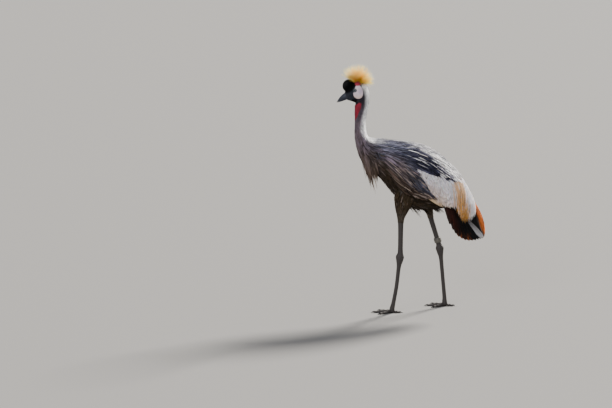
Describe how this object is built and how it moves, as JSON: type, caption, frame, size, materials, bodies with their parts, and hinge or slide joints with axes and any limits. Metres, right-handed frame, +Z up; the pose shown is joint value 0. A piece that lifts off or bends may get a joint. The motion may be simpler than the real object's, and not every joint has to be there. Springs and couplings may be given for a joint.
{
  "type": "grey crowned crane model",
  "caption": "Life-size still model of a grey crowned crane standing in mid stride, with straw crest, white cheek, red wattle and folded wings.",
  "frame": {"origin": "on the floor, under the middle of the bird's box", "axes": "+Z up, the bird faces -X and its left side is toward -Y"},
  "size_m": [0.6051, 0.2257, 1.0216],
  "materials": {
    "grey_plumage": "grey feathers",
    "black_velvet": "short velvety black feathers",
    "pale_iris": "glossy glass eye",
    "horn": "smooth dark horn",
    "white_skin": "bare white skin",
    "red_skin": "bare red skin",
    "straw_bristles": "stiff straw-gold bristle feathers",
    "white_feathers": "white covert feathers with straw plumes",
    "flight_feathers": "black and chestnut flight feathers",
    "black_feathers": "black tail feathers",
    "leg_skin": "dark scaly skin",
    "band": "beige plastic band"
  },
  "bodies": {
    "root": {"ankle_left": "leg_skin", "ankle_right": "leg_skin", "bill_lower": "horn", "bill_upper": "horn", "cheek_left": "white_skin", "cheek_right": "white_skin", "claw_left_1": "horn", "claw_left_2": "horn", "claw_left_3": "horn", "claw_left_4": "horn", "claw_right_1": "horn", "claw_right_2": "horn", "claw_right_3": "horn", "claw_right_4": "horn", "coverts_left": "white_feathers", "coverts_right": "white_feathers", "crest": "straw_bristles", "eye_left": "pale_iris", "eye_right": "pale_iris", "flight_left": "flight_feathers", "flight_right": "flight_feathers", "foot_left": "leg_skin", "foot_right": "leg_skin", "forehead_cushion": "black_velvet", "head": "grey_plumage", "leg_ring": "band", "neck_lower": "grey_plumage", "neck_upper": "grey_plumage", "shank_left": "leg_skin", "shank_right": "leg_skin", "tail": "black_feathers", "tarsus_left": "leg_skin", "tarsus_right": "leg_skin", "thigh_left": "grey_plumage", "thigh_right": "grey_plumage", "torso": "grey_plumage", "wattle": "red_skin", "wing_left": "grey_plumage", "wing_right": "grey_plumage"}
  },
  "joints": []
}
